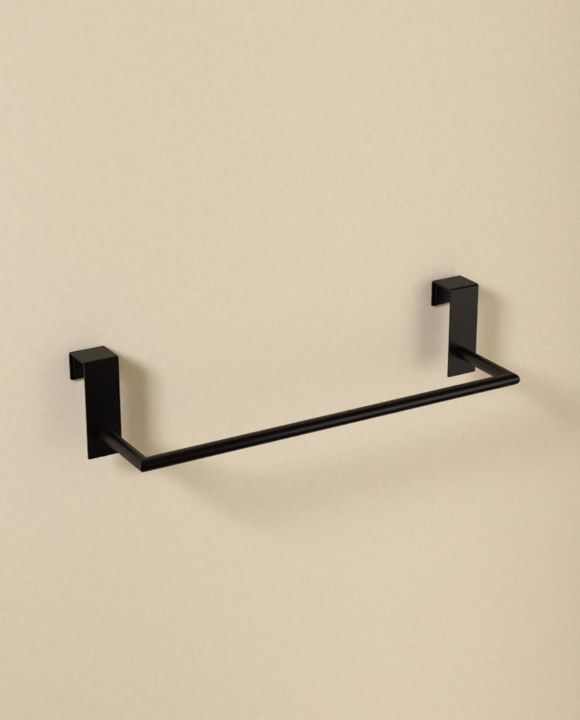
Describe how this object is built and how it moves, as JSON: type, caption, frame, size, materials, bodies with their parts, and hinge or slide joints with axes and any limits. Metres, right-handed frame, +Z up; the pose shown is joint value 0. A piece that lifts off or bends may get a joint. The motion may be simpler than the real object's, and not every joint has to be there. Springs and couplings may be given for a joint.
{
  "type": "towel bar",
  "caption": "Over-panel towel bar: folded strip hooks drop over a cabinet front or door, and round arms carry a round bar with mitred corners.",
  "frame": {"origin": "on the top front edge of the panel that the hooks hang over, midway between the hooks: the plane of the front pads' rear faces and of the top pads' undersides", "axes": "+Z up, +X along the bar, -Y out of the panel towards the user"},
  "size_m": [0.343, 0.0965, 0.075],
  "materials": {
    "black_coated_steel": "fine matt black powder coat",
    "plated_steel": "bright zinc plating",
    "black_rubber": "moulded, satin"
  },
  "bodies": {
    "root": {"cross_bar": "black_coated_steel", "left_hook": "black_coated_steel", "right_hook": "black_coated_steel", "left_arm": "black_coated_steel", "right_arm": "black_coated_steel", "left_plug": "plated_steel", "right_plug": "plated_steel", "left_screw": "plated_steel", "right_screw": "plated_steel", "left_front_pad": "black_rubber", "right_front_pad": "black_rubber", "left_top_pad": "black_rubber", "right_top_pad": "black_rubber", "left_lip_pad": "black_rubber", "right_lip_pad": "black_rubber"}
  },
  "joints": []
}
